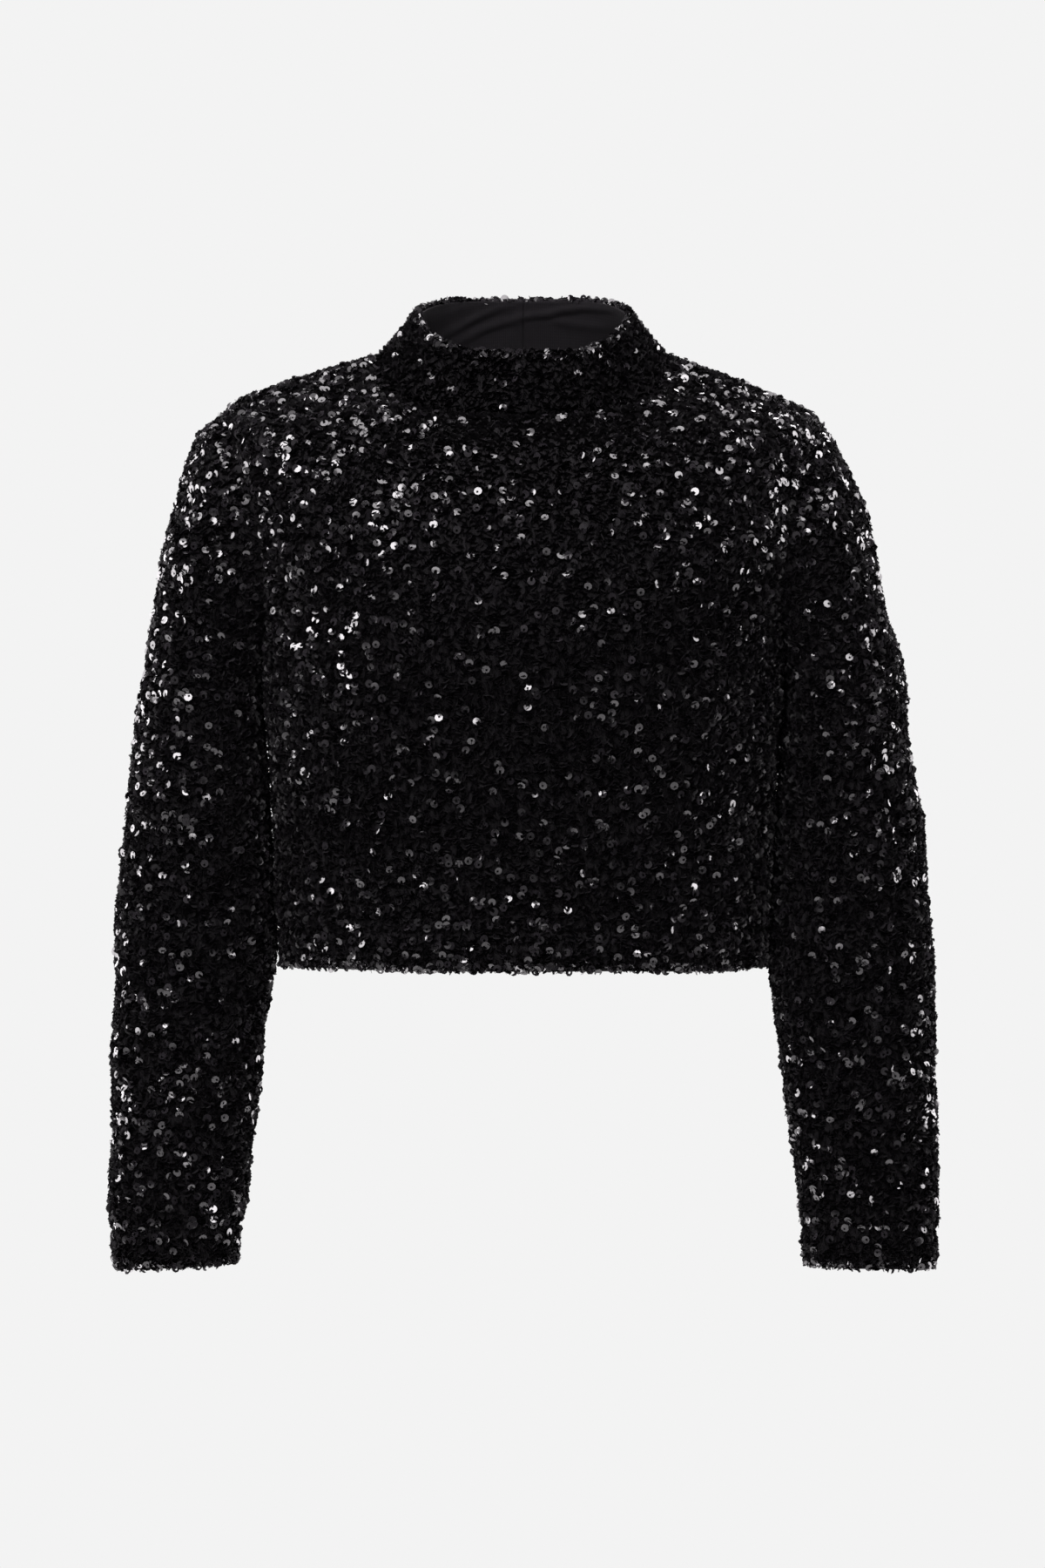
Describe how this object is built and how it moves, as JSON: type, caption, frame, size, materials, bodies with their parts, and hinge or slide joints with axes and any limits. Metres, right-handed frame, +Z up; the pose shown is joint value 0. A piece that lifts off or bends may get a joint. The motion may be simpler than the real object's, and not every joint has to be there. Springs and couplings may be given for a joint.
{
  "type": "cropped sweatshirt",
  "caption": "Cropped pull-on sweatshirt of densely sequined black knit with a stand-up funnel collar, long set-in sleeves and a straight turned-up hem, hollow and filled out as if worn.",
  "frame": {"origin": "midway between the two points where the shoulder seams meet the collar, which is where the wearer's neck comes out and the shoulders carry the garment", "axes": "+Z up, front of the garment facing -Y, wearer's left sleeve towards +X"},
  "size_m": [0.5574, 0.2399, 0.6595],
  "materials": {
    "sequined_knit": "black knit covered with overlapping small glossy black sequins",
    "jersey_facing": "matte charcoal-black jersey"
  },
  "bodies": {
    "root": {"front": "sequined_knit", "back": "sequined_knit", "sleeve_right": "sequined_knit", "sleeve_left": "sequined_knit", "collar_front": "sequined_knit", "collar_back": "sequined_knit", "collar_facing_right": "jersey_facing", "collar_facing_left": "jersey_facing"}
  },
  "joints": []
}
